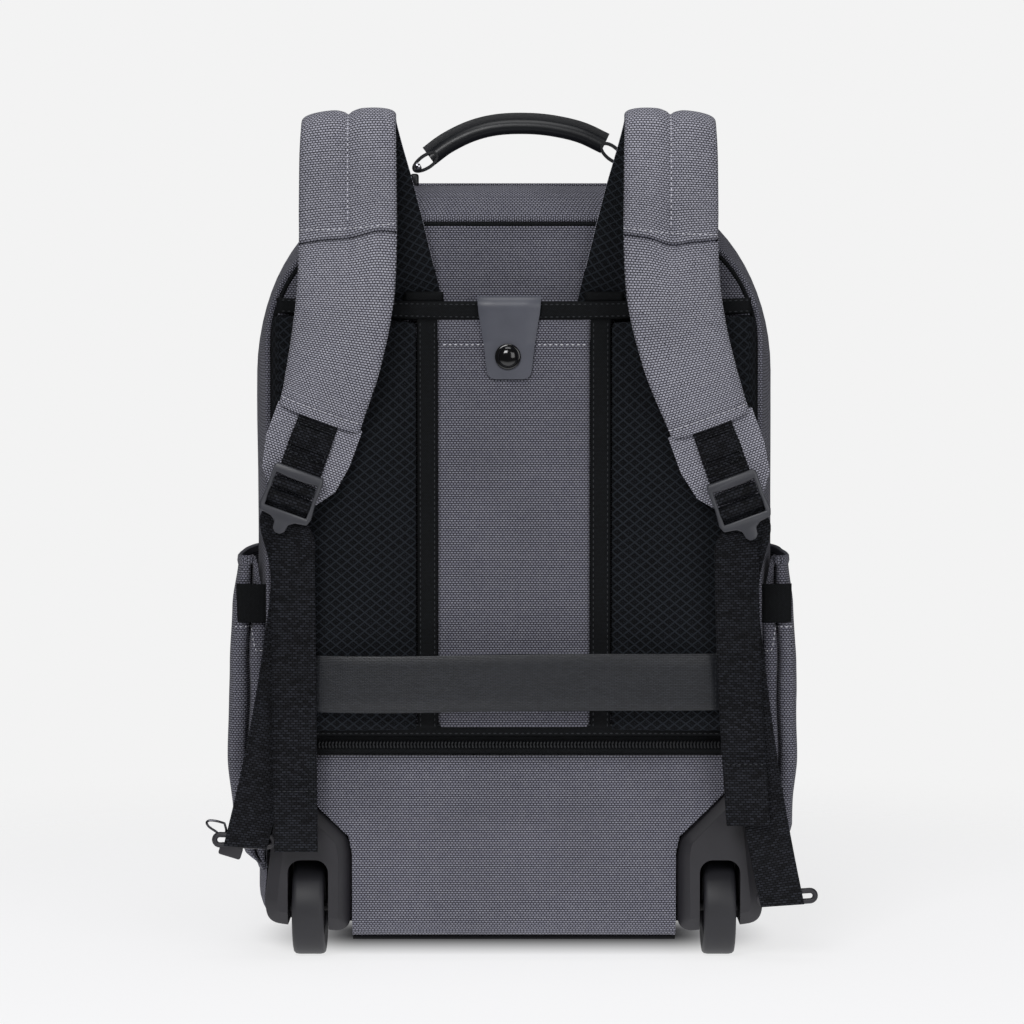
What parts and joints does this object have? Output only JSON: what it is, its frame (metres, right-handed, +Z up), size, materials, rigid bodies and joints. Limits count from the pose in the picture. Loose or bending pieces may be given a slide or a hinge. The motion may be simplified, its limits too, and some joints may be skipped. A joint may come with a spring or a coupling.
{
  "type": "wheeled backpack",
  "caption": "Soft wheeled backpack with padded mesh back, shoulder straps, side pockets, luggage band, grab handle and corner wheels.",
  "frame": {"origin": "on the floor, under the middle of the whole bag", "axes": "+Z up; -Y out of the wearer's side, where the straps hang; +X to the right of someone facing that side"},
  "size_m": [0.378, 0.2486, 0.5252],
  "materials": {
    "body_cloth": "coarse woven grey polyester",
    "strap_cloth": "coarse woven grey polyester over foam",
    "spacer_mesh": "black knitted spacer mesh",
    "binding": "black woven tape",
    "zip": "black coil zip on woven tape",
    "webbing": "black nylon webbing",
    "buckle_plastic": "moulded dark grey",
    "housing_plastic": "moulded charcoal, fine grain",
    "wheel_tyre": "satin dark grey",
    "hardware": "polished wire",
    "tab_leather": "smooth slate leather",
    "handle_leather": "smooth black leather",
    "snap": "glossy black dome"
  },
  "bodies": {
    "bag": {"main_shell": "body_cloth", "back_wall": "body_cloth", "front_panel": "body_cloth", "lower_panel": "body_cloth", "centre_panel": "body_cloth", "side_pocket_left": "body_cloth", "side_pocket_right": "body_cloth", "shoulder_strap_left": "strap_cloth", "shoulder_strap_right": "strap_cloth", "mesh_pad_left": "spacer_mesh", "mesh_pad_right": "spacer_mesh", "piping_back": "binding", "piping_front": "binding", "main_zip_flap": "binding", "tape_left": "binding", "tape_right": "binding", "top_tape": "binding", "bottom_binding": "binding", "lower_zip": "zip", "luggage_strap": "webbing", "strap_patch_left": "strap_cloth", "strap_patch_right": "strap_cloth", "strap_stub_left": "webbing", "strap_stub_right": "webbing", "webbing_left": "webbing", "webbing_right": "webbing", "elastic_left": "webbing", "elastic_right": "webbing", "buckle_left": "buckle_plastic", "buckle_right": "buckle_plastic", "hook_left": "hardware", "hook_right": "hardware", "leather_tab": "tab_leather", "snap_button": "snap", "grab_handle": "handle_leather", "handle_loop_left": "handle_leather", "handle_loop_right": "handle_leather", "handle_pin_left": "hardware", "handle_pin_right": "hardware", "wheel_housing_left": "housing_plastic", "wheel_housing_right": "housing_plastic", "foot_left": "housing_plastic", "foot_right": "housing_plastic"},
    "wheel_left": {"wheel_tyre_left": "wheel_tyre", "wheel_hub_left": "housing_plastic"},
    "wheel_right": {"wheel_tyre_right": "wheel_tyre", "wheel_hub_right": "housing_plastic"}
  },
  "joints": [
    {"name": "wheel_left_spin", "type": "hinge", "parent": "bag", "child": "wheel_left", "pos_m": [-0.127, -0.05571, 0.03], "axis": [1, 0, 0], "continuous": true},
    {"name": "wheel_right_spin", "type": "hinge", "parent": "bag", "child": "wheel_right", "pos_m": [0.127, -0.05571, 0.03], "axis": [1, 0, 0], "continuous": true}
  ]
}
